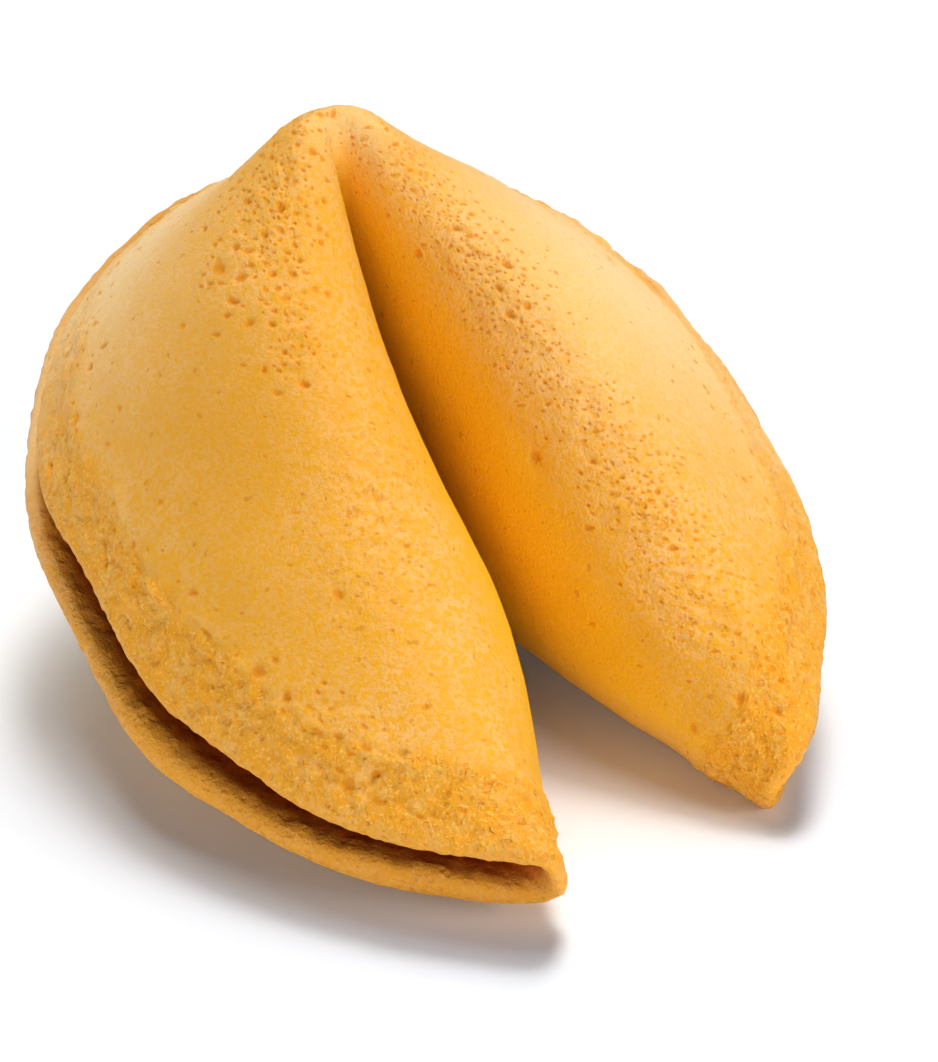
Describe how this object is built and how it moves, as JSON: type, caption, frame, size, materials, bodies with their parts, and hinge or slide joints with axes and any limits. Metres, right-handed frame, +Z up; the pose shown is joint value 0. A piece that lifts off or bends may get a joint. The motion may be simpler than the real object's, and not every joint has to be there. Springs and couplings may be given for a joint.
{
  "type": "fortune cookie",
  "caption": "Crisp folded wafer cookie: a thin round sheet folded in half and bent over, leaving rounded lobes either side of a notch.",
  "frame": {"origin": "centre of the bounding box's base, on the surface the cookie rests on", "axes": "+Z up, -Y where the notch between the lobes opens, +X towards the right lobe"},
  "size_m": [0.0422, 0.0568, 0.0355],
  "materials": {
    "baked_wafer": "matt baked crust, golden with browner edges"
  },
  "bodies": {
    "root": {"cookie": "baked_wafer"}
  },
  "joints": []
}
